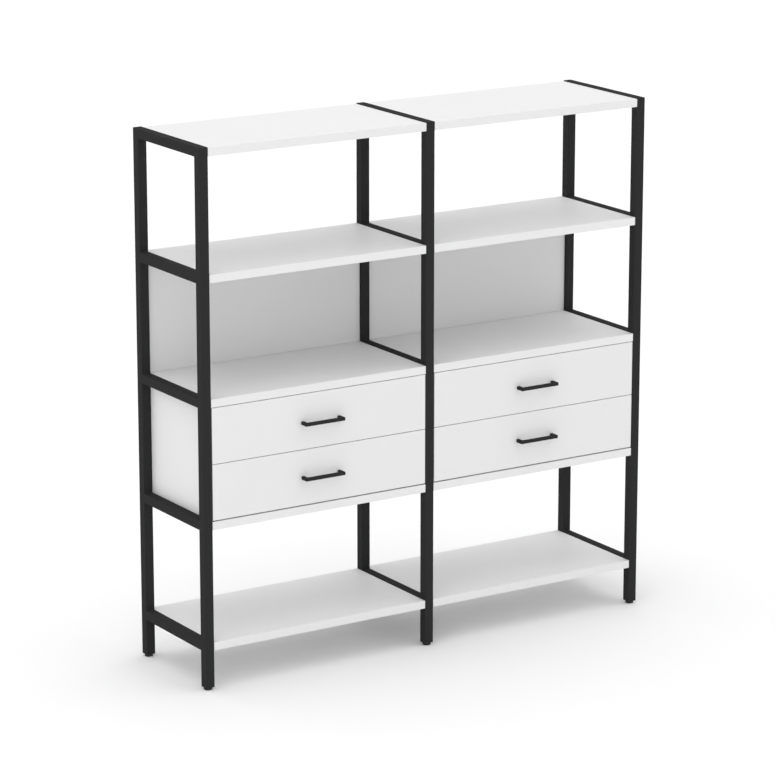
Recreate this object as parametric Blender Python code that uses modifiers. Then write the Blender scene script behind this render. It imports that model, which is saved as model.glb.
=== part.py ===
"""Two-bay shelving unit with drawers, built as an assembly of its real pieces.

Three welded side frames of square steel tube carry five boards in each bay. A back panel closes the bay
under the upper shelf, and below it a cabinet holds two drawers on steel runners.

Units are metres and +Z is up. The front faces -Y. The origin is on the floor, under the middle of the
object's box, handles included.
"""

import bmesh
import bpy
from mathutils import Vector

# Bays and levels
BAY_WIDTH = 0.755  # clear width between two side frames
DEPTH = 0.400  # over the posts, front to back
LOWEST_LEVEL = 0.1405  # from the foot of the posts to the top of the bottom shelf
LEVEL_PITCH = 0.3765  # from one shelf top to the next
BOARD_THICKNESS = 0.025
SEAT = 0.0003  # gap between faces that touch

# Side frames
RAIL_RISE = 0.0025  # from the top of a board up to that of its rails
RAIL_DROP = 0.0025  # from the underside of a board to that of its rails, where the cleats are welded
TUBE = RAIL_RISE + BOARD_THICKNESS + RAIL_DROP  # outside of the square tube, 30 mm
TUBE_WALL = 0.0015
TUBE_ROUND = 0.002  # outside radius of the tube's corners
END_PLATE = 0.004  # tapped plate that closes the foot of a post
TOP_PLATE = 0.002  # plate that closes the top of a post
VENT_RADIUS = 0.003  # holes that join the hollow of a rail to that of its posts
CLEAT_THICKNESS = 0.002  # plates under the board ends
CLEAT_LENGTH = 0.040
CLEAT_REACH = 0.030
CLEAT_SETBACK = 0.020  # from a post to the nearest cleat

# Levelling feet
FOOT_HEIGHT = 0.0085  # from the floor to the foot of the post
FOOT_RADIUS = 0.013
FOOT_CHAMFER = 0.0015
STUD_RADIUS = 0.004
STUD_LENGTH = 0.022  # above the foot's body
STUD_CLEARANCE = 0.0003

# Cabinet panels
PANEL_THICKNESS = 0.016  # cabinet sides
BACK_THICKNESS = 0.018
BACK_INSET = 0.002  # from the back of the posts to the back of the panels
EDGE_ROUND = 0.0005  # softened edges of boards, panels and fronts

# Drawers
DRAWERS_PER_BAY = 2
FRONT_THICKNESS = 0.016
FRONT_GAP = 0.002  # beside and above a drawer front
LOWEST_FRONT_GAP = 0.004  # under the lowest fronts, to clear the cabinet floor
FRONT_BUFFER = 0.002  # from a closed front to the cabinet's edge
DRAWER_TOP_ROOM = 0.040  # from the top of a front down to the drawer's sides
DRAWER_FOOT_ROOM = 0.015  # from the bottom of a front up to the drawer's sides
WRAP_THICKNESS = 0.012  # drawer sides and back
DRAWER_BOTTOM = 0.004
GROOVE_DEPTH = 0.006
GROOVE_RISE = 0.010  # from the lower edge of the sides to the groove

# Runners
RUNNER_ROOM = 0.0127  # between cabinet side and drawer side
RUNNER_HEIGHT = 0.035
RUNNER_SHEET = 0.0012
RUNNER_OVERHANG = 0.0105  # reach of the channel's flanges from the cabinet side
RUNNER_RISE = 0.045  # from the lower edge of the sides to the middle of the runner
RUNNER_END_ROOM = 0.012  # behind the runners, to the cabinet back
GLIDE_CLEARANCE = 0.0004

# Handles
HANDLE_CENTRES = 0.128  # between the middles of a handle's two legs, where its screws go
HANDLE_REACH = 0.030  # from the drawer front to the outside of the bar
HANDLE_BAR = 0.010
HANDLE_ROUND = 0.0007
UPPER_HANDLE_DROP = 0.003  # from the middle of an upper front down to its handle

# Flats that round shapes are drawn with
TURNED_STEPS = 24  # round a foot
HOLE_SIDES = 16
CORNER_STEPS = 3  # round the corner of a tube
ROUND_PROFILE = 0.5  # a bevel's profile for a quarter circle
EDGE_STEPS = 2  # over a softened edge
SHARP_ANGLE = 0.5  # radians between two faces that meet in a corner
WELD_DISTANCE = 0.00001

# Names of the levels, from the floor up, and of the bays and frames, from left to right
LEVELS = ("bottom_shelf", "cabinet_floor", "cabinet_top", "upper_shelf", "top_board")
BAYS = ("left", "right")
FRAMES = ("left", "middle", "right")
CABINET_FLOOR = LEVELS.index("cabinet_floor")
CABINET_TOP = LEVELS.index("cabinet_top")
UPPER_SHELF = LEVELS.index("upper_shelf")
DRAWERS = ("lower", "upper")

Y_FRONT = (HANDLE_REACH - DEPTH) / 2
Y_REAR = Y_FRONT + DEPTH
Y_BACK_FACE = Y_REAR - BACK_INSET - BACK_THICKNESS
Y_FRONT_BACK = Y_FRONT + FRONT_THICKNESS
HEIGHT = FOOT_HEIGHT + LOWEST_LEVEL + (len(LEVELS) - 1) * LEVEL_PITCH + RAIL_RISE
DRAWER_DEPTH = Y_BACK_FACE - Y_FRONT_BACK - SEAT - RUNNER_END_ROOM  # of the drawer behind its front


def new_collection(name):
    collection = bpy.data.collections.new(name)
    bpy.context.scene.collection.children.link(collection)
    return collection


def new_material(name, colour, roughness, metallic):
    material = bpy.data.materials.new(name)
    material.use_nodes = True
    shader = material.node_tree.nodes["Principled BSDF"]
    shader.inputs["Base Color"].default_value = (*colour, 1.0)
    shader.inputs["Roughness"].default_value = roughness
    shader.inputs["Metallic"].default_value = metallic
    material.diffuse_color = (*colour, 1.0)
    return material


def level_top(level):
    return FOOT_HEIGHT + LOWEST_LEVEL + level * LEVEL_PITCH


def level_underside(level):
    return level_top(level) - BOARD_THICKNESS


def frame_x(frame):
    """Middle plane of a side frame, counted from the left."""
    return (frame - (len(FRAMES) - 1) / 2) * (BAY_WIDTH + TUBE)


def bay_range(bay):
    """Left and right limit of the clear space between two frames."""
    return frame_x(bay) + TUBE / 2, frame_x(bay + 1) - TUBE / 2


def add_box(mesh, low, high):
    """Adds a box to a bmesh. Boxes with a face at the same value meet there exactly."""
    for vert in bmesh.ops.create_cube(mesh, size=1.0)["verts"]:
        vert.co = [most if side > 0 else least for side, least, most in zip(vert.co, low, high)]


def add_rod(mesh, start, end, radius):
    """Adds a round rod between two points."""
    start, end = Vector(start), Vector(end)
    run = end - start
    rod = bmesh.ops.create_cone(
        mesh, cap_ends=True, segments=HOLE_SIDES, radius1=radius, radius2=radius, depth=run.length
    )
    turn = run.to_track_quat("Z", "Y").to_matrix()
    bmesh.ops.rotate(mesh, cent=(0, 0, 0), matrix=turn, verts=rod["verts"])
    bmesh.ops.translate(mesh, vec=(start + end) / 2, verts=rod["verts"])


def object_from(mesh, name, location, collection):
    """Turns a bmesh drawn in world coordinates into an object with its origin at the location."""
    bmesh.ops.translate(mesh, vec=-Vector(location), verts=mesh.verts)
    data = bpy.data.meshes.new(name)
    mesh.to_mesh(data)
    mesh.free()
    part = bpy.data.objects.new(name, data)
    part.location = location
    collection.objects.link(part)
    return part


class Workshop:
    """Collections, materials and the joints' parents that the pieces share."""

    def __init__(self):
        self.parts = new_collection("shelving_unit")
        self.cutters = new_collection("cutters")
        self.steel = new_material("black_powder_coated_steel", (0.030, 0.030, 0.032), 0.55, 0.0)
        self.board = new_material("white_laminated_board", (0.80, 0.80, 0.80), 0.45, 0.0)
        self.wrap = new_material("white_wrapped_board", (0.72, 0.72, 0.71), 0.50, 0.0)
        self.zinc = new_material("zinc_plated_steel", (0.62, 0.63, 0.65), 0.35, 1.0)
        self.plastic = new_material("black_plastic", (0.025, 0.025, 0.025), 0.50, 0.0)

    def part(self, mesh, name, material, location=(0.0, 0.0, 0.0), parent=None):
        """A sub-part; its origin is at the location, in world coordinates."""
        part = object_from(mesh, name, location, self.parts)
        part.data.materials.append(material)
        if parent is not None:
            part.location = Vector(location) - parent.location
            part.parent = parent
        return part

    def block(self, name, low, high, material, rounding, parent=None):
        """A rectangular sub-part with softened edges and its origin in its middle."""
        mesh = bmesh.new()
        add_box(mesh, low, high)
        middle = (Vector(low) + Vector(high)) / 2
        part = self.part(mesh, name, material, middle, parent)
        soften(part, rounding)
        return part

    def helper(self, mesh, part, operation):
        """Joins a hidden helper body to a part, or cuts it away. It moves with the part."""
        name = f"{part.name}_{operation.lower()}_{len(part.modifiers)}"
        body = object_from(mesh, name, (0.0, 0.0, 0.0), self.cutters)
        body.hide_render = True
        body.display_type = "WIRE"
        if part.parent is not None:
            body.location = -part.parent.location
            body.parent = part.parent
        boolean = part.modifiers.new(name, "BOOLEAN")
        boolean.operation = operation
        boolean.solver = "EXACT"
        boolean.object = body

    def slide_empty(self, name, location):
        """The parent of everything that slides with one drawer."""
        empty = bpy.data.objects.new(name, None)
        empty.empty_display_size = 2 * BOARD_THICKNESS
        empty.location = location
        self.parts.objects.link(empty)
        return empty


def soften(part, rounding):
    bevel = part.modifiers.new("softened_edges", "BEVEL")
    bevel.width = rounding
    bevel.segments = EDGE_STEPS
    bevel.limit_method = "ANGLE"


def ladder(left, rails):
    """Posts and rails as they stand once their welds are ground flush.

    The side view is a grid of cells. The windows between the rails and the space between the feet are taken
    out, the rest is given the tube's width, and the edges along the tubes are rounded.
    """
    depths = (Y_FRONT, Y_FRONT + TUBE, Y_REAR - TUBE, Y_REAR)
    heights = (FOOT_HEIGHT, *(z for rail in rails for z in rail))
    columns, rows = len(depths) - 1, len(heights) - 1
    mesh = bmesh.new()
    for vert in bmesh.ops.create_grid(mesh, x_segments=columns, y_segments=rows, size=1.0)["verts"]:
        column = round((vert.co.x + 1) / 2 * columns)
        row = round((vert.co.y + 1) / 2 * rows)
        vert.co = (left, depths[column], heights[row])

    def is_window(face):
        middle = face.calc_center_median()
        between_posts = depths[1] < middle.y < depths[2]
        return between_posts and not any(low < middle.z < high for low, high in rails)

    bmesh.ops.delete(mesh, geom=[face for face in mesh.faces if is_window(face)], context="FACES")
    grown = bmesh.ops.extrude_face_region(mesh, geom=mesh.faces[:])["geom"]
    far_side = [item for item in grown if isinstance(item, bmesh.types.BMVert)]
    bmesh.ops.translate(mesh, vec=(TUBE, 0, 0), verts=far_side)
    bmesh.ops.recalc_face_normals(mesh, faces=mesh.faces[:])

    def runs_along_a_tube(edge):
        start, end = (vert.co for vert in edge.verts)
        across = abs(start.x - end.x) > WELD_DISTANCE
        at_foot = max(start.z, end.z) < FOOT_HEIGHT + WELD_DISTANCE
        is_corner = edge.calc_face_angle() > SHARP_ANGLE
        return is_corner and not across and not at_foot

    along = [edge for edge in mesh.edges if runs_along_a_tube(edge)]
    bmesh.ops.bevel(
        mesh, geom=along, offset=TUBE_ROUND, segments=CORNER_STEPS, profile=ROUND_PROFILE, affect="EDGES"
    )
    return mesh


def side_frame(shop, frame):
    """A welded frame: two posts, five rails, cleats under the board ends and a tapped plate in each post."""
    x = frame_x(frame)
    left, right = x - TUBE / 2, x + TUBE / 2
    front_inner, rear_inner = Y_FRONT + TUBE, Y_REAR - TUBE
    rail_tops = [level_top(level) + RAIL_RISE for level in range(len(LEVELS))]
    rails = [(high - TUBE, high) for high in rail_tops]
    part = shop.part(ladder(left, rails), f"side_frame_{FRAMES[frame]}", shop.steel)
    shop.helper(cleats(frame), part, "UNION")

    hollow = bmesh.new()
    inner_left, inner_right = left + TUBE_WALL, right - TUBE_WALL
    for near, far in ((Y_FRONT, front_inner), (rear_inner, Y_REAR)):
        low = (inner_left, near + TUBE_WALL, FOOT_HEIGHT + END_PLATE)
        add_box(hollow, low, (inner_right, far - TUBE_WALL, HEIGHT - TOP_PLATE))
    for low, high in rails:
        near_corner = (inner_left, front_inner, low + TUBE_WALL)
        add_box(hollow, near_corner, (inner_right, rear_inner, high - TUBE_WALL))
    shop.helper(hollow, part, "DIFFERENCE")

    holes = bmesh.new()
    for low, high in rails:
        middle = (low + high) / 2
        add_rod(holes, (x, front_inner - TUBE / 2, middle), (x, rear_inner + TUBE / 2, middle), VENT_RADIUS)
    for y in (Y_FRONT + TUBE / 2, Y_REAR - TUBE / 2):
        low = (x, y, FOOT_HEIGHT - END_PLATE)
        add_rod(holes, low, (x, y, FOOT_HEIGHT + 2 * END_PLATE), STUD_RADIUS + STUD_CLEARANCE)
    shop.helper(holes, part, "DIFFERENCE")


def cleats(frame):
    """The plates that board ends rest on. The cabinet top has none, as the cabinet sides carry it."""
    mesh = bmesh.new()
    x = frame_x(frame)
    left = x - TUBE / 2 - CLEAT_REACH if frame > 0 else x
    right = x + TUBE / 2 + CLEAT_REACH if frame < len(FRAMES) - 1 else x
    front = Y_FRONT + TUBE + CLEAT_SETBACK
    rear = Y_REAR - TUBE - CLEAT_SETBACK - CLEAT_LENGTH
    for level in range(len(LEVELS)):
        if level == CABINET_TOP:
            continue
        high = level_underside(level) - SEAT
        for y in (front, rear):
            add_box(mesh, (left, y, high - CLEAT_THICKNESS), (right, y + CLEAT_LENGTH, high))
    return mesh


def foot(shop, name, x, y):
    """A round levelling foot, turned on its threaded stud. Its origin is on the stud's axis."""
    body_top = FOOT_HEIGHT - SEAT
    stud_top = body_top + STUD_LENGTH
    profile = (
        (0.0, stud_top),
        (STUD_RADIUS, stud_top),
        (STUD_RADIUS, body_top),
        (FOOT_RADIUS - FOOT_CHAMFER, body_top),
        (FOOT_RADIUS, body_top - FOOT_CHAMFER),
        (FOOT_RADIUS, FOOT_CHAMFER),
        (FOOT_RADIUS - FOOT_CHAMFER, 0.0),
        (0.0, 0.0),
    )
    mesh = bmesh.new()
    verts = [mesh.verts.new((x + radius, y, z)) for radius, z in profile]
    for start, end in zip(verts, verts[1:]):
        mesh.edges.new((start, end))
    part = shop.part(mesh, name, shop.plastic, (x, y, 0.0))
    screw = part.modifiers.new("turned", "SCREW")
    screw.axis = "Z"
    screw.steps = TURNED_STEPS
    screw.render_steps = TURNED_STEPS
    screw.use_merge_vertices = True
    screw.merge_threshold = WELD_DISTANCE
    screw.use_smooth_shade = True


def boards(shop, bay):
    """The five boards of a bay, butted between the frames."""
    left, right = bay_range(bay)
    for level, kind in enumerate(LEVELS):
        low = (left + SEAT, Y_FRONT, level_underside(level))
        high = (right - SEAT, Y_REAR, level_top(level))
        shop.block(f"{kind}_{BAYS[bay]}", low, high, shop.board, EDGE_ROUND)


def back_panel(shop, bay):
    """The panel that closes the open compartment over the cabinet."""
    left, right = bay_range(bay)
    low = (left + SEAT, Y_BACK_FACE, level_top(CABINET_TOP) + SEAT)
    high = (right - SEAT, Y_BACK_FACE + BACK_THICKNESS, level_underside(UPPER_SHELF) - SEAT)
    shop.block(f"back_panel_{BAYS[bay]}", low, high, shop.board, EDGE_ROUND)


def cabinet(shop, bay):
    """The two sides and the back that join cabinet top and cabinet floor."""
    left, right = bay_range(bay)
    low_z, high_z = level_top(CABINET_FLOOR) + SEAT, level_underside(CABINET_TOP) - SEAT
    front = Y_FRONT_BACK + FRONT_BUFFER
    rear = Y_BACK_FACE + BACK_THICKNESS
    inner_left, inner_right = left + SEAT + PANEL_THICKNESS, right - SEAT - PANEL_THICKNESS
    for piece, low, high in (
        ("side_lh", (left + SEAT, front, low_z), (inner_left, rear, high_z)),
        ("side_rh", (inner_right, front, low_z), (right - SEAT, rear, high_z)),
        ("back", (inner_left + SEAT, Y_BACK_FACE, low_z), (inner_right - SEAT, rear, high_z)),
    ):
        shop.block(f"cabinet_{piece}_{BAYS[bay]}", low, high, shop.board, EDGE_ROUND)
    return inner_left, inner_right


def drawer(shop, bay, row, inner_left, inner_right):
    """One drawer: front, folded wrap, bottom panel, handle and the slides of its two runners."""
    name = f"{BAYS[bay]}_{DRAWERS[row]}"
    left, right = bay_range(bay)
    opening = LEVEL_PITCH - BOARD_THICKNESS
    front_height = (opening - LOWEST_FRONT_GAP) / DRAWERS_PER_BAY - FRONT_GAP
    front_low = level_top(CABINET_FLOOR) + LOWEST_FRONT_GAP + row * (front_height + FRONT_GAP)
    front_high = front_low + front_height
    centre = ((left + right) / 2, Y_FRONT, (front_low + front_high) / 2)
    carrier = shop.slide_empty(f"drawer_{name}", centre)

    low = (left + FRONT_GAP, Y_FRONT, front_low)
    high = (right - FRONT_GAP, Y_FRONT_BACK, front_high)
    shop.block(f"drawer_front_{name}", low, high, shop.board, EDGE_ROUND, carrier)
    drop = UPPER_HANDLE_DROP if DRAWERS[row] == "upper" else 0.0
    handle(shop, name, (centre[0], centre[1], centre[2] - drop), carrier)

    side_low, side_high = front_low + DRAWER_FOOT_ROOM, front_high - DRAWER_TOP_ROOM
    box_left, box_right = inner_left + RUNNER_ROOM, inner_right - RUNNER_ROOM
    box_front, box_rear = Y_FRONT_BACK + SEAT, Y_FRONT_BACK + SEAT + DRAWER_DEPTH
    mesh = bmesh.new()
    add_box(mesh, (box_left, box_front, side_low), (box_right, box_rear, side_high))
    wrap = shop.part(mesh, f"drawer_wrap_{name}", shop.wrap, centre, carrier)
    inside = bmesh.new()
    low = (box_left + WRAP_THICKNESS, box_front - WRAP_THICKNESS, side_low - WRAP_THICKNESS)
    high = (box_right - WRAP_THICKNESS, box_rear - WRAP_THICKNESS, side_high + WRAP_THICKNESS)
    add_box(inside, low, high)
    shop.helper(inside, wrap, "DIFFERENCE")

    # The bottom panel slides into a groove on three sides
    groove_low = side_low + GROOVE_RISE
    groove_high = groove_low + DRAWER_BOTTOM + 2 * SEAT
    edge = WRAP_THICKNESS - GROOVE_DEPTH
    groove = bmesh.new()
    low = (box_left + edge, box_front - WRAP_THICKNESS, groove_low)
    add_box(groove, low, (box_right - edge, box_rear - edge, groove_high))
    shop.helper(groove, wrap, "DIFFERENCE")
    mesh = bmesh.new()
    low = (box_left + edge + SEAT, box_front, groove_low + SEAT)
    add_box(mesh, low, (box_right - edge - SEAT, box_rear - edge - SEAT, groove_high - SEAT))
    shop.part(mesh, f"drawer_bottom_{name}", shop.wrap, centre, carrier)

    middle = side_low + RUNNER_RISE
    runner(shop, f"{name}_lh", inner_left, +1, middle, carrier)
    runner(shop, f"{name}_rh", inner_right, -1, middle, carrier)


def handle(shop, name, centre, carrier):
    """A U handle of square bar: a block with the finger gap cut out of it."""
    x, y, z = centre
    bar = HANDLE_BAR
    half = (HANDLE_CENTRES + bar) / 2
    mesh = bmesh.new()
    add_box(mesh, (x - half, y - HANDLE_REACH, z - bar / 2), (x + half, y - SEAT, z + bar / 2))
    part = shop.part(mesh, f"drawer_handle_{name}", shop.steel, centre, carrier)
    gap = bmesh.new()
    add_box(gap, (x - half + bar, y - HANDLE_REACH + bar, z - bar), (x + half - bar, y + bar, z + bar))
    shop.helper(gap, part, "DIFFERENCE")
    soften(part, HANDLE_ROUND)


def runner(shop, name, panel_face, side, middle, carrier):
    """A channel on the cabinet side and the slide that runs in it.

    Distances across are counted from the cabinet side's face towards the drawer: side is +1 or -1.
    """
    front, rear = Y_FRONT_BACK + SEAT, Y_FRONT_BACK + SEAT + DRAWER_DEPTH
    half = RUNNER_HEIGHT / 2

    def block(across, y_range, z_half):
        low_x, high_x = sorted(panel_face + side * distance for distance in across)
        mesh = bmesh.new()
        add_box(mesh, (low_x, y_range[0], middle - z_half), (high_x, y_range[1], middle + z_half))
        return mesh

    # The channel's pocket is open to the front and closed behind, where the slide stops
    channel_front = Y_FRONT_BACK + FRONT_BUFFER
    channel = shop.part(
        block((SEAT, RUNNER_OVERHANG), (channel_front, rear), half), f"runner_channel_{name}", shop.zinc
    )
    pocket = (channel_front - half, rear - RUNNER_SHEET)
    shop.helper(
        block((SEAT + RUNNER_SHEET, RUNNER_ROOM), pocket, half - RUNNER_SHEET), channel, "DIFFERENCE"
    )

    slide_half = half - RUNNER_SHEET - GLIDE_CLEARANCE
    slide_outer = RUNNER_ROOM - SEAT
    slide_inner = SEAT + RUNNER_SHEET + GLIDE_CLEARANCE
    slide_rear = rear - RUNNER_SHEET - SEAT
    mesh = block((slide_inner, slide_outer), (front, slide_rear), slide_half)
    slide = shop.part(mesh, f"runner_slide_{name}", shop.zinc, carrier.location.copy(), carrier)
    inside = (0.0, slide_outer - RUNNER_SHEET)
    hollow = block(inside, (front - half, rear + half), slide_half - RUNNER_SHEET)
    shop.helper(hollow, slide, "DIFFERENCE")


def build():
    for old in list(bpy.data.objects):
        bpy.data.objects.remove(old)
    shop = Workshop()
    for frame, place in enumerate(FRAMES):
        side_frame(shop, frame)
        x = frame_x(frame)
        foot(shop, f"foot_front_{place}", x, Y_FRONT + TUBE / 2)
        foot(shop, f"foot_rear_{place}", x, Y_REAR - TUBE / 2)
    for bay in range(len(BAYS)):
        boards(shop, bay)
        back_panel(shop, bay)
        inner_left, inner_right = cabinet(shop, bay)
        for row in range(DRAWERS_PER_BAY):
            drawer(shop, bay, row, inner_left, inner_right)


build()
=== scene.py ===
# %% [markdown]
# # An open shelving unit with drawers
#
# Three welded frames of black square tube carry white boards in two bays. The middle of each bay is a
# cabinet with two drawers. The measured model already holds every piece at its real size, so this lesson
# is about what the eye reads on top of that: powder coat, melamine board, zinc plate, welds, screws and
# light.

# %% Load the measured model
import math

import bmesh
import bpy
from mathutils import Matrix, Vector


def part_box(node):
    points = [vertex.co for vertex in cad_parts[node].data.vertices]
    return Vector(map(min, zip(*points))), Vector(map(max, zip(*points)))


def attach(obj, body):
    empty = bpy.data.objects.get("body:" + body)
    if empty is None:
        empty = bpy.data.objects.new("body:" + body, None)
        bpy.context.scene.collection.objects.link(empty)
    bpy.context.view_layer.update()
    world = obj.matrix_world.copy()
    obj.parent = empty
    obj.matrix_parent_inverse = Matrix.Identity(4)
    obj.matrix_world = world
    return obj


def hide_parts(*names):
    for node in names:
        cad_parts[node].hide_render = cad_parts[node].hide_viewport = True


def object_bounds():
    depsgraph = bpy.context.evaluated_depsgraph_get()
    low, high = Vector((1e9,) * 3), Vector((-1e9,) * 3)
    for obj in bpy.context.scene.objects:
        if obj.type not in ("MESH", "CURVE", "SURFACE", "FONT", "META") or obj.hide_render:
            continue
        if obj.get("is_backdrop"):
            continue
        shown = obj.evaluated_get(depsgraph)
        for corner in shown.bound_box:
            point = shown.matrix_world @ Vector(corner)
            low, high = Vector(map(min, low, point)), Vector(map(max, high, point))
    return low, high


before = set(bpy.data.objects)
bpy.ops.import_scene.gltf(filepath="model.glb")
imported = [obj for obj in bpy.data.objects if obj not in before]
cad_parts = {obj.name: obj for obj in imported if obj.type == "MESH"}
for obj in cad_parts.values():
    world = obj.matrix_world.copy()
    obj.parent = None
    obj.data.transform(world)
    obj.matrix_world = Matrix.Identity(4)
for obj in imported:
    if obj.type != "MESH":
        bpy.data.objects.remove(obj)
cad_low, cad_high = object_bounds()
MIDDLE = (cad_low + cad_high) / 2
MM = 0.001
BAYS = ("left", "right")
ROWS = ("lower", "upper")
FRAMES = ("left", "middle", "right")
DRAWERS = [f"{bay}_{row}" for bay in BAYS for row in ROWS]
print("model size in mm:", [round(side / MM) for side in cad_high - cad_low])

# %% [markdown]
# ## Two helpers for colours and nodes
#
# A colour is easiest to read off as sRGB hex, the way a paint chart or a picture editor gives it. Shaders
# calculate in linear light, so one function turns the hex into linear numbers. Nodes could be wired by
# hand in the shader editor, or each with four lines of code. One function adds a node of any kind
# instead: settings go to its options or sockets, and links join other nodes to its sockets. The Mix node
# has sockets for each data type, so those for colours are told by their number.

# %% Colour and node helpers
COLOUR_A, COLOUR_B = 6, 7  # inputs of a Mix node
MIXED_COLOUR = 2  # output of a Mix node


def linear(hex_colour):
    channels = [int(hex_colour[i : i + 2], 16) / 255 for i in (1, 3, 5)]
    return (*(c / 12.92 if c <= 0.04045 else ((c + 0.055) / 1.055) ** 2.4 for c in channels), 1.0)


def add_node(tree, kind, settings=None, links=None):
    """Adds a shader node. In links, a node stands for its first output."""
    node = tree.nodes.new("ShaderNode" + kind)
    for name, value in (settings or {}).items():
        if isinstance(name, int) or name in node.inputs:
            node.inputs[name].default_value = value
        else:
            setattr(node, name, value)
    for name, source in (links or {}).items():
        output = source.outputs[0] if isinstance(source, bpy.types.Node) else source
        tree.links.new(output, node.inputs[name])
    return node


def per_mm(size_mm):
    """Texture scale at which one cell of a pattern has this size."""
    return 1.0 / (size_mm * MM)


print("white paper in linear light:", [round(c, 3) for c in linear("#F2F2F2")])

# %% [markdown]
# ## Where patterns are pinned
#
# Every piece of the measured model lies at the world's origin, so its object coordinates are its place in
# the unit at rest, in metres. A pattern that reads them keeps its real scale and moves with a drawer. UV
# maps could pin it too, but they need seams on every piece, and plain boards and tubes do without. A
# material starts from these coordinates and ends with a shader that gathers colour, gloss and relief.

# %% The start and the end of a material
NOISE_SPAN = {"From Min": 0.3, "From Max": 0.7}  # most of a noise lies between these


def empty_tree(owner):
    """The node tree of a material or a world, without the nodes that it starts with."""
    owner.use_nodes = True
    owner.node_tree.nodes.clear()
    return owner.node_tree


def new_material(name):
    material = bpy.data.materials.new(name)
    tree = empty_tree(material)
    return material, tree, add_node(tree, "TexCoord").outputs["Object"]


def finish_material(tree, settings, colour, height, depth_mm, links=None):
    """The shader and its output, with a relief of this depth."""
    relief = add_node(tree, "Bump", {"Distance": depth_mm * MM}, {"Height": height})
    sources = {"Base Color": colour, "Normal": relief, **(links or {})}
    shader = add_node(tree, "BsdfPrincipled", settings, sources)
    add_node(tree, "OutputMaterial", links={"Surface": shader})


print("materials so far:", len(bpy.data.materials))

# %% [markdown]
# ## Powder-coated steel
#
# The frames and handles are steel with a baked polyester powder coat, in the fine-texture matt black that
# hides fingerprints. The powder melts into tiny hills some 0.3 mm apart, drawn here at 0.5 mm so that a
# close view shows them, over a coarser orange peel of 2.5 mm. Such hills could be modelled, but there are
# millions of them, so noise drives relief, colour and roughness together. The coat is a plastic skin, so
# the shader isn't metallic. The hills hide each other from low angles, so it hardly reflects, and every
# face is nearly the same black.

# %% Powder coat
def powder_coat():
    material, tree, place = new_material("powder_coated_steel_matt_black")
    hills = add_node(tree, "TexNoise", {"Scale": per_mm(0.5)}, {"Vector": place})
    peel = add_node(tree, "TexNoise", {"Scale": per_mm(2.5), "Detail": 1.0}, {"Vector": place})
    height = add_node(tree, "Math", {"operation": "ADD"}, {0: hills, 1: peel})
    both_noises = {"From Min": 0.7, "From Max": 1.3}
    tone = add_node(tree, "MapRange", both_noises, {"Value": height})
    blacks = {"data_type": "RGBA", COLOUR_A: linear("#272728"), COLOUR_B: linear("#373738")}
    colour = add_node(tree, "Mix", blacks, {0: tone}).outputs[MIXED_COLOUR]
    limits = {**NOISE_SPAN, "To Min": 0.7, "To Max": 0.86}
    rough = add_node(tree, "MapRange", limits, {"Value": hills})
    settings = {"IOR": 1.5, "Specular IOR Level": 0.03}
    finish_material(tree, settings, colour, height, depth_mm=0.15, links={"Roughness": rough})
    return material


POWDER_COAT = powder_coat()
print(POWDER_COAT.name, len(POWDER_COAT.node_tree.nodes), "nodes")

# %% [markdown]
# ## Melamine-faced board
#
# Boards, fronts and panels are chipboard with a white melamine paper pressed on both faces. The press
# plate leaves a fine pearl, which the eye sees as a soft sheen and not as a pattern. The narrow faces are
# closed with a plastic edge band, which is smoother and has faint lines along it from the scraper. Paper
# and band could be two materials, given face by face. The measured meshes stay as they are, so one shader
# tells them apart by the normal: along the board's thickness it is a face, across it an edge. The backs
# get a greyer white than the other boards. That grey is painted shade: it darkens them beyond the shade
# that the light here gives them.

# %% Laminated board, one version for each direction of its thickness
WHITE = ("#E5E5E5", "#E7E7E7")
# The backs' greyer white is painted shade, not a paper of their own.
SHADE_PAINTED_WHITE = ("#DEDEDE", "#E0E0E0")
EDGE_BAND = linear("#E7E7E7")
BAND_ROUGHNESS = 0.36
EDGE_TO_FACE = {"From Min": 0.3, "From Max": 0.7}  # of the normal, along the thickness


def laminated_board(name, thickness_axis, face_whites):
    material, tree, place = new_material(name)
    normal = add_node(tree, "NewGeometry").outputs["True Normal"]
    along_thickness = add_node(tree, "SeparateXYZ", links={0: normal}).outputs[thickness_axis.upper()]
    size = add_node(tree, "Math", {"operation": "ABSOLUTE"}, {0: along_thickness})
    on_face = add_node(tree, "MapRange", EDGE_TO_FACE, {"Value": size})

    cloud = add_node(tree, "TexNoise", {"Scale": per_mm(180.0), "Detail": 1.0}, {"Vector": place})
    whites = {"data_type": "RGBA", COLOUR_A: linear(face_whites[0]), COLOUR_B: linear(face_whites[1])}
    paper = add_node(tree, "Mix", whites, {0: cloud}).outputs[MIXED_COLOUR]
    band = {"data_type": "RGBA", COLOUR_A: EDGE_BAND}
    colour = add_node(tree, "Mix", band, {0: on_face, COLOUR_B: paper}).outputs[MIXED_COLOUR]

    pearl = add_node(tree, "TexNoise", {"Scale": per_mm(0.9)}, {"Vector": place})
    limits = {**NOISE_SPAN, "To Min": 0.46, "To Max": 0.58}
    sheen = add_node(tree, "MapRange", limits, {"Value": pearl})
    rough = add_node(tree, "Mix", {"A": BAND_ROUGHNESS}, {0: on_face, "B": sheen})

    across, along = per_mm(0.6), per_mm(60.0)
    line_scale = (across, along, across) if thickness_axis == "x" else (along, across, across)
    stretched = add_node(tree, "Mapping", {"Scale": line_scale}, {"Vector": place})
    lines = add_node(tree, "TexNoise", {"Scale": 1.0, "Detail": 1.0}, {"Vector": stretched})
    height = add_node(tree, "Mix", links={0: on_face, "A": lines, "B": pearl})
    settings = {"IOR": 1.5, "Specular IOR Level": 0.2}
    finish_material(tree, settings, colour, height, depth_mm=0.06, links={"Roughness": rough})
    return material


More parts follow.
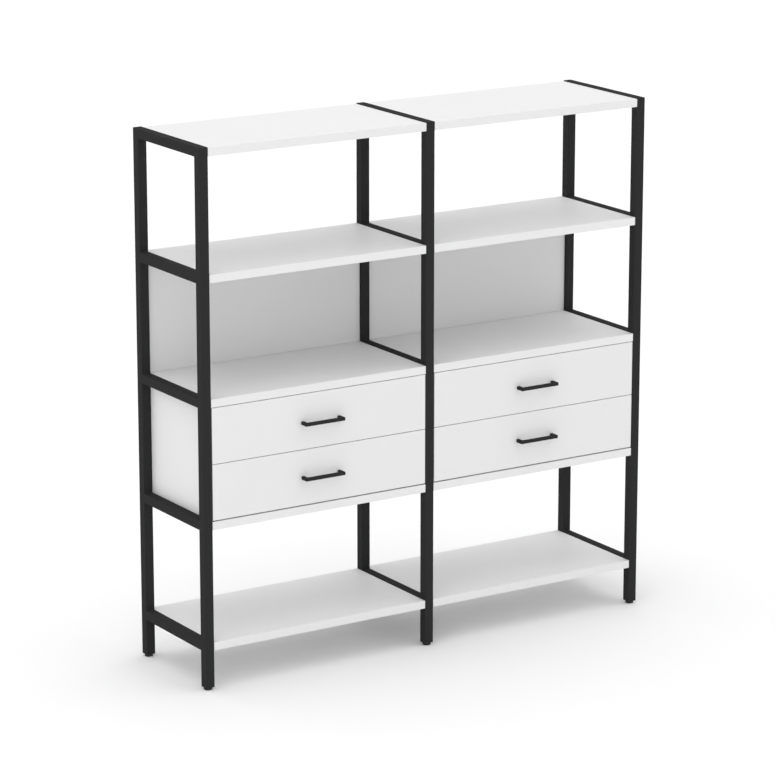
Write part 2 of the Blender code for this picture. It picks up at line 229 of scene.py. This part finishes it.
BOARD = {axis: laminated_board(f"white_melamine_board_{axis}", axis, WHITE) for axis in "xyz"}
# The backs' board takes the greyer white, which is painted shade.
BACK_BOARD_PAINTED_SHADE = laminated_board("greyer_melamine_board", "y", SHADE_PAINTED_WHITE)
print("board finishes:", [material.name for material in (*BOARD.values(), BACK_BOARD_PAINTED_SHADE)])

# %% [markdown]
# ## Foil-wrapped drawer sides
#
# The sides and back of a drawer are one thin board wrapped in paper foil and folded at V grooves. The
# foil is a little greyer and flatter than melamine, with a faint fibre that runs along the board. A wave
# texture could draw fibres, but it repeats in even bands, so noise is stretched along the board instead.

# %% Foil wrap
def foil_wrap():
    material, tree, place = new_material("white_foil_wrapped_board")
    scale = (per_mm(40.0), per_mm(40.0), per_mm(1.5))
    stretched = add_node(tree, "Mapping", {"Scale": scale}, {"Vector": place})
    fibre = add_node(tree, "TexNoise", {"Scale": 1.0, "Detail": 3.0}, {"Vector": stretched})
    whites = {"data_type": "RGBA", COLOUR_A: linear("#E4E4E2"), COLOUR_B: linear("#E9E9E8")}
    colour = add_node(tree, "Mix", whites, {0: fibre}).outputs[MIXED_COLOUR]
    finish_material(tree, {"IOR": 1.5, "Roughness": 0.5}, colour, fibre, depth_mm=0.02)
    return material


FOIL = foil_wrap()
print(FOIL.name, len(FOIL.node_tree.nodes), "nodes")

# %% [markdown]
# ## Zinc-plated steel
#
# Runners and screws are cold-rolled steel with bright zinc plate. It is a metal, so it has no colour of
# its own under the shine: its base colour tints the reflection, and the IOR stays at its default. Rolling
# leaves lines along the sheet, and the passivated zinc drifts a little between blue and yellow. An
# anisotropic gloss could show the lines, but it needs a direction stored in the mesh. Noise that is
# stretched along the sheet gives the same streaks without one.

# %% Zinc plate
def zinc_plate():
    material, tree, place = new_material("bright_zinc_plate")
    scale = (per_mm(0.8), per_mm(30.0), per_mm(0.8))
    stretched = add_node(tree, "Mapping", {"Scale": scale}, {"Vector": place})
    rolled = add_node(tree, "TexNoise", {"Scale": 1.0}, {"Vector": stretched})
    drift = add_node(tree, "TexNoise", {"Scale": per_mm(25.0), "Detail": 1.0}, {"Vector": place})
    tints = {"data_type": "RGBA", COLOUR_A: linear("#B2B5BB"), COLOUR_B: linear("#BDBBB3")}
    colour = add_node(tree, "Mix", tints, {0: drift}).outputs[MIXED_COLOUR]
    limits = {**NOISE_SPAN, "To Min": 0.26, "To Max": 0.42}
    rough = add_node(tree, "MapRange", limits, {"Value": rolled})
    settings = {"Metallic": 1.0}
    finish_material(tree, settings, colour, rolled, depth_mm=0.01, links={"Roughness": rough})
    return material


ZINC = zinc_plate()
print(ZINC.name, len(ZINC.node_tree.nodes), "nodes")

# %% [markdown]
# ## Moulded nylon
#
# The levelling feet are black nylon from an injection mould. The mould is spark-eroded, so the skin has a
# fine matt grain of about 0.3 mm, drawn at 0.6 mm here so that a close view shows it. Voronoi cells could
# make a grain, but their outlines look like leather, so it is noise.

# %% Nylon
def nylon():
    material, tree, place = new_material("moulded_nylon_black")
    eroded = add_node(tree, "TexNoise", {"Scale": per_mm(0.6)}, {"Vector": place})
    blacks = {"data_type": "RGBA", COLOUR_A: linear("#1C1C1D"), COLOUR_B: linear("#232324")}
    colour = add_node(tree, "Mix", blacks, {0: eroded}).outputs[MIXED_COLOUR]
    limits = {**NOISE_SPAN, "To Min": 0.4, "To Max": 0.56}
    rough = add_node(tree, "MapRange", limits, {"Value": eroded})
    settings = {"IOR": 1.53, "Specular IOR Level": 0.3}
    finish_material(tree, settings, colour, eroded, depth_mm=0.03, links={"Roughness": rough})
    return material


NYLON = nylon()
print(NYLON.name, len(NYLON.node_tree.nodes), "nodes")

# %% [markdown]
# ## Foam rubber
#
# The buffers behind the drawer fronts are black foam rubber. It has no gloss, and its cut skin shows
# pores of a few tenths of a millimetre, drawn at half a millimetre. Here Voronoi cells are right, because
# pores are separate dimples with an edge. Each pore is drawn darker towards its deep middle, which is
# painted shade. Real holes would need thousands of faces that nobody sees.

# %% Rubber
def foam_rubber():
    material, tree, place = new_material("foam_rubber_black")
    pores = add_node(tree, "TexVoronoi", {"Scale": per_mm(0.5)}, {"Vector": place}).outputs["Distance"]
    # Darker towards the middle of each pore: painted shade in the dimples.
    blacks = {"data_type": "RGBA", COLOUR_A: linear("#171717"), COLOUR_B: linear("#2A2A2A")}
    colour = add_node(tree, "Mix", blacks, {0: pores}).outputs[MIXED_COLOUR]
    settings = {"IOR": 1.52, "Specular IOR Level": 0.15, "Roughness": 0.9}
    finish_material(tree, settings, colour, pores, depth_mm=0.08)
    return material


RUBBER = foam_rubber()
print(RUBBER.name, len(RUBBER.node_tree.nodes), "nodes")

# %% [markdown]
# ## Dress the measured pieces
#
# A measured piece keeps its mesh and only gets its finish. The name says what it is made of, and for a
# board also which way its thickness lies. Finishes could be set piece by piece, but a table of name
# starts shows in one place what is made of what. The first row that fits counts.

# %% Give each measured piece its finish
FINISHES = (
    ("side_frame", POWDER_COAT),
    ("drawer_handle", POWDER_COAT),
    ("runner", ZINC),
    ("foot", NYLON),
    ("drawer_wrap", FOIL),
    ("drawer_bottom", FOIL),
    ("drawer_front", BOARD["y"]),
    ("back_panel", BACK_BOARD_PAINTED_SHADE),
    ("cabinet_back", BACK_BOARD_PAINTED_SHADE),
    ("cabinet_side", BOARD["x"]),
    ("", BOARD["z"]),
)


def dress(node):
    finish = next(material for start, material in FINISHES if node.name.startswith(start))
    node.data.materials.clear()
    node.data.materials.append(finish)
    return finish.name


dressed = [dress(node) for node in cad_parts.values()]
print({name: dressed.count(name) for name in sorted(set(dressed))})

# %% [markdown]
# ## Turned shapes
#
# Welds, screws and feet are too fine for the measured model, so they are made here and fixed to it. Most
# of them are round about an axis, as if turned. A Screw modifier could turn them, but points written
# straight into the mesh leave nothing to apply later, and let a ring be something other than round. The
# lathe here takes a profile of radius and height, copies it in rings about the axis of a stand and joins
# the rings.

# %% Stand and lathe
UP, DOWN = (0, 0, 1), (0, 0, -1)
FORWARDS, REARWARDS = (0, -1, 0), (0, 1, 0)


def stand(place, direction, turn=0.0):
    """A matrix whose Z axis points this way, for a shape whose foot is at this place."""
    aim = Vector(direction).to_track_quat("Z", "Y").to_matrix().to_4x4()
    return Matrix.Translation(Vector(place)) @ aim @ Matrix.Rotation(turn, 4, "Z")


def join_rings(mesh, first, second):
    """Faces between two rings. A ring of one point makes a tip."""
    count = max(len(first), len(second))
    for k in range(count):
        corners = [first[k % len(first)], first[(k + 1) % len(first)]]
        corners += [second[(k + 1) % len(second)], second[k % len(second)]]
        mesh.faces.new(list(dict.fromkeys(corners)))


def lathe(mesh, profile, axis, steps=32):
    """Turns a profile in mm. A radius is a number, or a function of the angle if the ring isn't round."""
    rings = []
    for radius, height in profile:
        if radius == 0:
            rings.append([mesh.verts.new(axis @ Vector((0, 0, height * MM)))])
            continue
        ring = []
        for angle in (math.tau * step / steps for step in range(steps)):
            reach = radius(angle) if callable(radius) else radius
            point = Vector((math.cos(angle) * reach, math.sin(angle) * reach, height)) * MM
            ring.append(mesh.verts.new(axis @ point))
        rings.append(ring)
    for first, second in zip(rings, rings[1:]):
        join_rings(mesh, first, second)


print("Z axis of a stand that points forwards:", [round(x) for x in stand((0, 0, 0), FORWARDS).col[2][:3]])

# %% [markdown]
# ## From a mesh to a piece
#
# A mesh becomes a piece of the unit with an object, a finish and a body to ride on, so that it moves with
# a drawer or turns with a foot. A round head should look round and its rim crisp. More rings would do
# that with more faces. Smooth shading does it with few, if the edges that bend by more than 38 degrees
# are marked as sharp.

# %% Objects and pieces
CREASE = math.radians(38)


def middle_of(node):
    low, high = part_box(node)
    return (low + high) / 2


def mesh_data(name, mesh):
    data = bpy.data.meshes.new(name)
    mesh.to_mesh(data)
    mesh.free()
    return data


def add_object(name, data):
    thing = bpy.data.objects.new(name, data)
    bpy.context.scene.collection.objects.link(thing)
    return thing


def new_piece(name, mesh, body, slot, *materials):
    bmesh.ops.recalc_face_normals(mesh, faces=mesh.faces[:])
    for face in mesh.faces:
        face.smooth = True
    for edge in mesh.edges:
        edge.smooth = edge.calc_face_angle(0.0) < CREASE
    data = mesh_data(name, mesh)
    for material in materials:
        data.materials.append(material)
    piece = add_object(name, data)
    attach(piece, body)
    return piece


print("middle of the left frame's front foot:", [round(x, 4) for x in middle_of("foot_front_left")])

# %% [markdown]
# ## Weld beads
#
# The rails are welded to the posts. On the outside the welds are ground flush, so that the boards and a
# wall lie flat. In the inside corners the beads stay, about 3 mm high, and the powder coat covers them. A
# bead is laid drop by drop, so it has a ripple of a millimetre and a half, and it thins out at both ends.
# A bevelled curve could stand for it, but would be as smooth as a wire. A row of cross-sections along the
# corner, each with its own size, gives the ripple and the ends.

# %% One bead
BEAD_LEG = 3.0 * MM
BEAD_LENGTH = 24.0 * MM
BEAD_SINK = 0.3 * MM  # fused into the tube
BEAD_WAIST = 0.8  # height of the bead's middle, as a share of its legs
RIPPLE = 1.5 * MM
RIPPLE_DEPTH = 0.06  # of the leg
END_LEG = 0.35  # of the leg, where the bead starts and stops
END_SHARE = 0.11  # of the bead's length, over which it grows
PHASE_PER_Y, PHASE_PER_Z = 300, 100  # so that no two beads ripple alike
BEAD_SECTIONS = 50
BEAD_ARC = 5  # points across the bead


def bead(mesh, start, up, out):
    """One bead along X, in the corner between a face that runs up and a face that runs out."""
    phase = start.y * PHASE_PER_Y + start.z * PHASE_PER_Z
    rings = []
    for i in range(BEAD_SECTIONS):
        share = i / (BEAD_SECTIONS - 1)
        x = share * BEAD_LENGTH
        fade = min(1.0, END_LEG + (1 - END_LEG) * min(share, 1 - share) / END_SHARE)
        leg = BEAD_LEG * fade * (1 + RIPPLE_DEPTH * math.sin(math.tau * x / RIPPLE + phase))
        here = start + Vector((x, 0, 0))
        ring = [mesh.verts.new(here - (up + out) * BEAD_SINK)]
        for angle in (math.pi / 2 * step / (BEAD_ARC - 1) for step in range(BEAD_ARC)):
            reach = leg * (BEAD_WAIST + (1 - BEAD_WAIST) * math.cos(2 * angle) ** 2)
            ring.append(mesh.verts.new(here + (up * math.cos(angle) + out * math.sin(angle)) * reach))
        rings.append(ring)
    for first, second in zip(rings, rings[1:]):
        join_rings(mesh, first, second)
    mesh.faces.new(rings[0])
    mesh.faces.new(rings[-1])


print("ripples in a bead:", round(BEAD_LENGTH / RIPPLE))

# %% Beads in the inside corners of the frames
TUBE = 30.0 * MM
BOARDS = ("bottom_shelf", "cabinet_floor", "cabinet_top", "upper_shelf", "top_board")
RAIL_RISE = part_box("side_frame_left")[1].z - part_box("top_board_left")[1].z
RAIL_TOPS = [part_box(f"{board}_left")[1].z + RAIL_RISE for board in BOARDS]


def weld_frame(place):
    mesh = bmesh.new()
    low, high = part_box(f"side_frame_{place}")
    start_x = middle_of(f"foot_front_{place}").x - BEAD_LENGTH / 2
    for y, out in ((low.y + TUBE, Vector(REARWARDS)), (high.y - TUBE, Vector(FORWARDS))):
        for rail_top in RAIL_TOPS:
            bead(mesh, Vector((start_x, y, rail_top - TUBE)), Vector(DOWN), out)
            if rail_top < max(RAIL_TOPS):
                bead(mesh, Vector((start_x, y, rail_top)), Vector(UP), out)
    return new_piece(f"weld_beads_{place}", mesh, "shelving_frame", "powder_coated_steel", POWDER_COAT)


welds = [weld_frame(place) for place in FRAMES]
print("points in the beads of each frame:", [len(weld.data.vertices) for weld in welds])

# %% [markdown]
# ## Screws with a cross recess
#
# Cleats, handles and slides are held by zinc-plated pan head screws. A pan head has a flat seat, a rim
# that leans in and a low dome. The cross recess is pressed in cold, so its walls slope. It could be cut
# with a boolean, which leaves long thin faces. In the lathe a ring's radius may depend on the angle,
# which bends the ring from a circle into a cross where the recess begins. Every screw stops at its own
# angle.

# %% Pan head screws
RECESS_REACH = 0.48  # of the head's radius
RECESS_HALF_WIDTH = 0.12
RECESS_FOOT = 0.65  # size of the recess at its foot
RECESS_TIP = 0.1  # depth of the point below its foot, in mm
RECESS_LEFT = 0.35  # of the head's height, left under the recess
# The head's profile, in shares of its radius and height
RIM = [(0.97, 0.0), (1.0, 0.12), (0.98, 0.45), (0.9, 0.75), (0.74, 0.94), (0.55, 1.0)]
TURN_PER_METRE = (37, 91, 53)  # so that every screw stops at its own angle
WASHER_REACH = 1.2  # of the head's radius
WASHER_BEVEL = 0.2  # of its thickness
NEARLY_ZERO = 1e-6  # keeps a division from failing


def cross(reach, half_width):
    """The distance from the middle of a cross to its outline, as a function of the angle."""

    def outline(angle):
        folded = abs((angle + math.pi / 4) % (math.pi / 2) - math.pi / 4)
        return min(reach / math.cos(folded), half_width / max(math.sin(folded), NEARLY_ZERO))

    return outline


def recess(radius, top, foot):
    wide, narrow = RECESS_REACH * radius, RECESS_HALF_WIDTH * radius
    mouth, bottom = cross(wide, narrow), cross(wide * RECESS_FOOT, narrow * RECESS_FOOT)
    return [(mouth, top), (bottom, foot), (0, foot - RECESS_TIP)]


def pan_head(mesh, place, direction, radius, height):
    profile = [(radius * across, height * up) for across, up in RIM]
    turn = sum(x * rate for x, rate in zip(place, TURN_PER_METRE)) % (math.pi / 2)
    profile += recess(radius, height, height * RECESS_LEFT)
    lathe(mesh, profile, stand(place, direction, turn))


def washer(mesh, place, direction, radius, height):
    edge = height * WASHER_BEVEL
    profile = [(0, 0), (radius, 0), (radius, height - edge), (radius - edge, height), (0, height)]
    lathe(mesh, profile, stand(place, direction))


def screw_set(name, body, spots, head, washer_height=0.0):
    """One piece with a screw at each spot. A head is its radius and height in mm."""
    mesh = bmesh.new()
    for place, direction in spots:
        if washer_height:
            washer(mesh, place, direction, head[0] * WASHER_REACH, washer_height)
        seat = Vector(place) + Vector(direction) * washer_height * MM
        pan_head(mesh, seat, direction, *head)
    new_piece(name, mesh, body, "zinc_plated_steel", ZINC)
    return len(spots)


print("a cross of 2 and 0.5 mm has its inner corner at", round(cross(2.0, 0.5)(math.pi / 4), 2), "mm")

# %% [markdown]
# ## Screws under the boards
#
# A board rests on four cleats, plates welded to the rails, and two screws in each cleat pull it down. The
# screws could be separate pieces, but those of one frame never move apart, so they are one mesh.

# %% Two screws in each cleat
CLEATED = ("bottom_shelf", "cabinet_floor", "upper_shelf", "top_board")
CLEAT_OUT = 30.0 * MM  # from the frame's middle plane to the screws
CLEAT_BELOW = 2.3 * MM  # from a board's underside to that of its cleats
CLEAT_IN = 70.0 * MM  # from the front or rear of a frame to the middle of a cleat
CLEAT_PITCH = 24.0 * MM
CLEAT_SCREW = (4.7, 2.7)
SIDES = {"left": {"left": 1}, "middle": {"left": -1, "right": 1}, "right": {"right": -1}}


def cleat_screws(place):
    low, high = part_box(f"side_frame_{place}")
    spots = []
    for bay, side in SIDES[place].items():
        x = middle_of(f"foot_front_{place}").x + side * CLEAT_OUT
        for board in CLEATED:
            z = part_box(f"{board}_{bay}")[0].z - CLEAT_BELOW
            for y in (low.y + CLEAT_IN, high.y - CLEAT_IN):
                spots += [((x, y + shift, z), DOWN) for shift in (-CLEAT_PITCH / 2, CLEAT_PITCH / 2)]
    return screw_set(f"cleat_screws_{place}", "shelving_frame", spots, CLEAT_SCREW)


print("cleat screws:", {place: cleat_screws(place) for place in FRAMES})

# %% [markdown]
# ## Screws inside the drawers
#
# A handle is held from inside by two screws with washers, 128 mm apart, and each slide by three screws
# through its web. They are seen only with the drawer open. They could be left out for that, but an empty
# front inside an open drawer looks unfinished. They ride on the drawer's body.

# %% Screws of handles and slides
HANDLE_CENTRES = 128.0 * MM
HANDLE_SCREW = (3.9, 2.4)
HANDLE_WASHER = 0.8
SLIDE_WEB = 1.2 * MM
SLIDE_SCREW = (3.6, 1.8)
SLIDE_HOLES = (0.1, 0.5, 0.9)  # of the slide's length


def handle_screws(drawer):
    grip = middle_of(f"drawer_handle_{drawer}")
    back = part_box(f"drawer_front_{drawer}")[1].y
    spots = [((grip.x + side * HANDLE_CENTRES / 2, back, grip.z), REARWARDS) for side in (-1, 1)]
    return screw_set(f"handle_screws_{drawer}", f"drawer_{drawer}", spots, HANDLE_SCREW, HANDLE_WASHER)


def slide_screws(drawer):
    spots = []
    for hand, side in (("lh", 1), ("rh", -1)):
        low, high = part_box(f"runner_slide_{drawer}_{hand}")
        x = high.x - SLIDE_WEB if side > 0 else low.x + SLIDE_WEB
        for share in SLIDE_HOLES:
            spots.append(((x, low.y + share * (high.y - low.y), (low.z + high.z) / 2), (-side, 0, 0)))
    return screw_set(f"slide_screws_{drawer}", f"drawer_{drawer}", spots, SLIDE_SCREW)


screw_count = sum(handle_screws(drawer) + slide_screws(drawer) for drawer in DRAWERS)
print("screws of handles and slides:", screw_count)

# %% [markdown]
# ## Cams that pull the panels together
#
# Panels of this kind are joined with cam fittings: a turned zinc drum of 15 mm sits in a hole in one
# panel and grips the head of a dowel screwed into the other. What shows is a disc, nearly flush with the
# panel, with a cross recess and a small bevel. They are in the backs of the fixed panels and in the
# drawers' sides. A disc could be painted on by the shader, but its bevel catches the light when the view
# moves, so it is turned like the screws.

# %% Cam discs
CAM_RADIUS = 7.4
CAM_FLAT = 4.6  # radius at which the disc begins to dip towards its recess
CAM_PROUD = 0.5
CAM_SUNK = 0.2
CAM_BEVEL = 0.3
CAM_DIP = 0.1  # from the flat to the mouth of the recess
CAM_RECESS_FOOT = -0.15
CAM_TURN = 0.4  # angle of the recess when the cam is tight
CAM_IN = 34.0 * MM  # from the edge of the panel to the middle of the cam
WRAP_THICKNESS = 12.0 * MM


def cam(mesh, place, direction):
    side = [(CAM_RADIUS, -CAM_SUNK), (CAM_RADIUS, CAM_PROUD - CAM_BEVEL)]
    face = [(CAM_RADIUS - CAM_BEVEL, CAM_PROUD), (CAM_FLAT, CAM_PROUD)]
    face += recess(CAM_RADIUS, CAM_PROUD - CAM_DIP, CAM_RECESS_FOOT)
    lathe(mesh, side + face, stand(place, direction, CAM_TURN))


def panel_cams(panel):
    low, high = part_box(panel)
    mesh = bmesh.new()
    for z in (low.z + CAM_IN, high.z - CAM_IN):
        for x in (low.x + 2 * CAM_IN, (low.x + high.x) / 2, high.x - 2 * CAM_IN):
            cam(mesh, (x, high.y, z), REARWARDS)
    return new_piece(f"cams_{panel}", mesh, "shelving_frame", "zinc_plated_steel", ZINC)


def drawer_cams(drawer):
    low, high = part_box(f"drawer_wrap_{drawer}")
    mesh = bmesh.new()
    for x, side in ((low.x + WRAP_THICKNESS, 1), (high.x - WRAP_THICKNESS, -1)):
        for z in (low.z + CAM_IN, high.z - CAM_IN):
            cam(mesh, (x, low.y + CAM_IN, z), (side, 0, 0))
    return new_piece(f"cams_drawer_{drawer}", mesh, f"drawer_{drawer}", "zinc_plated_steel", ZINC)


cams = [panel_cams(f"{panel}_{bay}") for panel in ("back_panel", "cabinet_back") for bay in BAYS]
cams += [drawer_cams(drawer) for drawer in DRAWERS]
print("pieces with cams:", len(cams))

# %% [markdown]
# ## Buffers behind the drawer fronts
#
# A drawer front closes against four soft black pads, so it doesn't knock and keeps its gap. A pad is a
# disc of 8 mm stamped from foam rubber and domed at its edge. It sits on the front, where the cabinet's
# side meets it. A cylinder with a bevel would do as well. The lathe is at hand, so it is one more
# profile.

# %% Rubber buffers
BUFFER = [(0, 0), (4.0, 0), (4.0, 1.1), (3.7, 1.6), (3.0, 1.85), (0, 1.9)]  # radius and height
BUFFER_IN = 15.0 * MM  # from the top or bottom of the front


def buffers(bay, row):
    low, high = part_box(f"drawer_front_{bay}_{row}")
    mesh = bmesh.new()
    for hand in ("lh", "rh"):
        x = middle_of(f"cabinet_side_{hand}_{bay}").x
        for z in (low.z + BUFFER_IN, high.z - BUFFER_IN):
            lathe(mesh, BUFFER, stand((x, high.y, z), REARWARDS))
    return new_piece(f"buffers_{bay}_{row}", mesh, f"drawer_{bay}_{row}", "black_plastic", RUBBER)


pads = [buffers(bay, row) for bay in BAYS for row in ROWS]
print("buffer sets:", len(pads))

# %% [markdown]
# ## Levelling feet
#
# A foot is a nylon disc moulded round the head of a threaded stud. The mould gives it a rounded sole edge
# and a slightly hollow sole, so that it stands on a ring and doesn't rock. The measured foot is a
# 24-sided stand-in, so a rounder one takes its place. The thread of its M8 stud could be a helix, but it
# is hidden in the post, so rings 1.25 mm apart are enough, and they close without a seam.

# %% Turned feet
FOOT_STEPS = 64
FOOT_BODY = 8.2  # height of the disc
SOLE = [(0, 0.5), (8.0, 0.4), (9.5, 0.05), (9.8, 0.0)]  # radius and height, hollow in its middle
SOLE_ROUND = 1.8
TOP_ROUND = 0.8
STUD_RADIUS = 4.0
STUD_TIP = 0.8  # bevel at the end of the stud
THREAD_PITCH = 1.25
THREAD_DEPTH = 0.35


def quarter(radius, height, size, start, count=6):
    """Points on a quarter circle of a profile, about a centre given by radius and height."""
    angles = (math.radians(start + 90 * step / count) for step in range(count + 1))
    return [(radius + size * math.cos(angle), height + size * math.sin(angle)) for angle in angles]


def levelling_foot(node):
    low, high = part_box(node)
    axis = stand((middle_of(node).x, middle_of(node).y, 0), UP)
    radius = (high.x - low.x) / 2 / MM
    stud_top = high.z / MM
    mesh = bmesh.new()
    edge = quarter(radius - SOLE_ROUND, SOLE_ROUND, SOLE_ROUND, -90)
    shoulder = quarter(radius - TOP_ROUND, FOOT_BODY - TOP_ROUND, TOP_ROUND, 0)
    lathe(mesh, SOLE + edge + shoulder + [(0, FOOT_BODY)], axis, FOOT_STEPS)
    body_faces = len(mesh.faces)
    thread = [(0, FOOT_BODY)]
    for turn in range(int((stud_top - FOOT_BODY) / THREAD_PITCH)):
        root = FOOT_BODY + turn * THREAD_PITCH
        thread += [(STUD_RADIUS - THREAD_DEPTH, root), (STUD_RADIUS, root + THREAD_PITCH / 2)]
    lathe(mesh, thread + [(STUD_RADIUS - STUD_TIP, stud_top), (0, stud_top)], axis)
    mesh.faces.ensure_lookup_table()
    for face in mesh.faces[body_faces:]:
        face.material_index = 1  # the stud is zinc, the second material
    piece = new_piece(f"levelling_{node}", mesh, f"levelling_{node}", "black_plastic", NYLON, ZINC)
    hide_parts(node)
    return piece


feet = [levelling_foot(f"foot_{end}_{place}") for end in ("front", "rear") for place in FRAMES]
print("feet:", [foot.name for foot in feet])

# %% [markdown]
# ## White floor
#
# The unit stands on white paper, which throws light up under the boards and takes the unit's shadow. Open
# floor is pure white in the picture. The floor could be made to glow for that, but then the shadow fades.
# It stays a plain diffuse white, and is so large that its edge is never seen.

# %% The paper
FLOOR_SIZE = 120.0
FLOOR_COLOUR = linear("#F7F7F7")


def white_floor():
    mesh = bmesh.new()
    bmesh.ops.create_grid(mesh, x_segments=1, y_segments=1, size=FLOOR_SIZE / 2)
    floor = add_object("floor", mesh_data("floor", mesh))
    material = bpy.data.materials.new("white_paper_floor")
    tree = empty_tree(material)
    paper = add_node(tree, "BsdfDiffuse", {"Color": FLOOR_COLOUR})
    add_node(tree, "OutputMaterial", links={"Surface": paper})
    floor.data.materials.append(material)
    floor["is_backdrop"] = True


white_floor()
print("floor of", FLOOR_SIZE, "m")

# %% [markdown]
# ## Light from all sides
#
# The picture has no visible lamp: the light comes from all sides, as in a white tent. The tent is
# brightest overhead, where its softbox hangs, and paler at its walls. A ring of area lamps could build
# it, but the world does the same without seams or noise, with one level overhead and one at the walls.
# Rays that show the world as a picture, or as a reflection in metal, see plain white. Rays that light the
# scene see the levels.

# %% The tent
OVERHEAD_LEVEL = 1.88
WALL_LEVEL = 1.09
WHITE_TENT = (1.0, 1.0, 1.0, 1.0)


def only_if_seen(tree, seen, unseen):
    """One colour for rays that show a surface as a picture, another for rays that light the scene."""
    path = add_node(tree, "LightPath").outputs
    shown = path["Is Camera Ray"]
    for kind in ("Is Glossy Ray", "Is Transmission Ray"):
        shown = add_node(tree, "Math", {"operation": "MAXIMUM"}, {0: shown, 1: path[kind]})
    colours = {"data_type": "RGBA", COLOUR_B: seen}
    return add_node(tree, "Mix", colours, {0: shown, COLOUR_A: unseen}).outputs[MIXED_COLOUR]


def tent():
    world = bpy.data.worlds.new("white_tent")
    bpy.context.scene.world = world
    tree = empty_tree(world)
    direction = add_node(tree, "TexCoord").outputs["Generated"]
    height = add_node(tree, "SeparateXYZ", links={0: direction}).outputs["Z"]
    overhead = add_node(tree, "Math", {"operation": "MAXIMUM", 1: 0.0}, {0: height})
    walls = add_node(tree, "Math", {"operation": "SUBTRACT", 0: 1.0}, {1: overhead})
    parts = []
    for share, level in ((overhead, OVERHEAD_LEVEL), (walls, WALL_LEVEL)):
        square = add_node(tree, "Math", {"operation": "MULTIPLY"}, {0: share, 1: share})
        parts.append(add_node(tree, "Math", {"operation": "MULTIPLY", 1: level}, {0: square}))
    unseen = add_node(tree, "Math", {"operation": "ADD"}, {0: parts[0], 1: parts[1]})
    colour = only_if_seen(tree, WHITE_TENT, unseen)
    light = add_node(tree, "Background", {"Strength": 1.0}, {"Color": colour})
    add_node(tree, "OutputWorld", links={"Surface": light})


tent()
print("level overhead:", OVERHEAD_LEVEL, "and at the walls:", WALL_LEVEL)

# %% [markdown]
# ## One broad lamp
#
# Light that is the same from every side leaves round and square steel looking flat. One broad lamp to the
# left of the camera makes the left faces a touch brighter, as they are in the picture. A small lamp would
# throw a hard shadow, so it is 8 m wide and weak. The view transform stays Standard, so that a colour
# renders about as it is written.

# %% The lamp and the view transform
LAMP_PLACE = Vector((-9.0, -8.0, 3.0))
LAMP_SIZE = 8.0
LAMP_POWER = 150.0


def soft_lamp():
    lamp = bpy.data.lights.new("soft_lamp", "AREA")
    lamp.size = LAMP_SIZE
    lamp.energy = LAMP_POWER
    holder = add_object("soft_lamp", lamp)
    holder.location = LAMP_PLACE
    holder.rotation_euler = (MIDDLE - LAMP_PLACE).to_track_quat("-Z", "Y").to_euler()


soft_lamp()
bpy.context.scene.view_settings.view_transform = "Standard"
print("a lamp of", LAMP_POWER, "W at", round((LAMP_PLACE - MIDDLE).length, 1), "m")

# %% [markdown]
# ## Camera
#
# The picture was taken from the front left and a little above, with a long lens, from some ten metres
# away. A long lens keeps the far bay nearly as large as the near one. The uprights in the picture are
# parallel, which a level camera with a shifted lens gives. That shift would be as large as the picture,
# and would push the unit out of every other view, so the camera here looks down instead. The uprights
# then draw together towards the floor by a few pixels.

# %% Camera
CAMERA_PLACE = Vector((-5.693, -8.886, 3.527))
CAMERA_TURN = math.radians(32.48)
CAMERA_DIP = math.radians(14.53)
FOCAL_LENGTH = 162.8
SENSOR_WIDTH = 36.0


def place_camera():
    camera = bpy.data.cameras.new("camera")
    camera.lens = FOCAL_LENGTH
    camera.sensor_width = SENSOR_WIDTH
    camera.clip_end = 2 * FLOOR_SIZE
    holder = add_object("camera", camera)
    holder.location = CAMERA_PLACE
    holder.rotation_euler = (math.pi / 2 - CAMERA_DIP, 0.0, -CAMERA_TURN)
    bpy.context.scene.camera = holder


place_camera()
print("camera", round((CAMERA_PLACE - MIDDLE).length, 2), "m from the unit's middle")

# %% [markdown]
# ## The last measure
#
# New pieces must stay inside the measured unit, or the model would no longer fit where the real one does.
# The two could be compared by eye, but measuring them shows a hundredth of a millimetre.

# %% Compare the dressed unit with the measured one and finish
seen_low, seen_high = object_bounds()
growth = (*(cad_low - seen_low), *(seen_high - cad_high))
print("outline grows by, in mm:", [round(x / MM, 2) for x in growth])
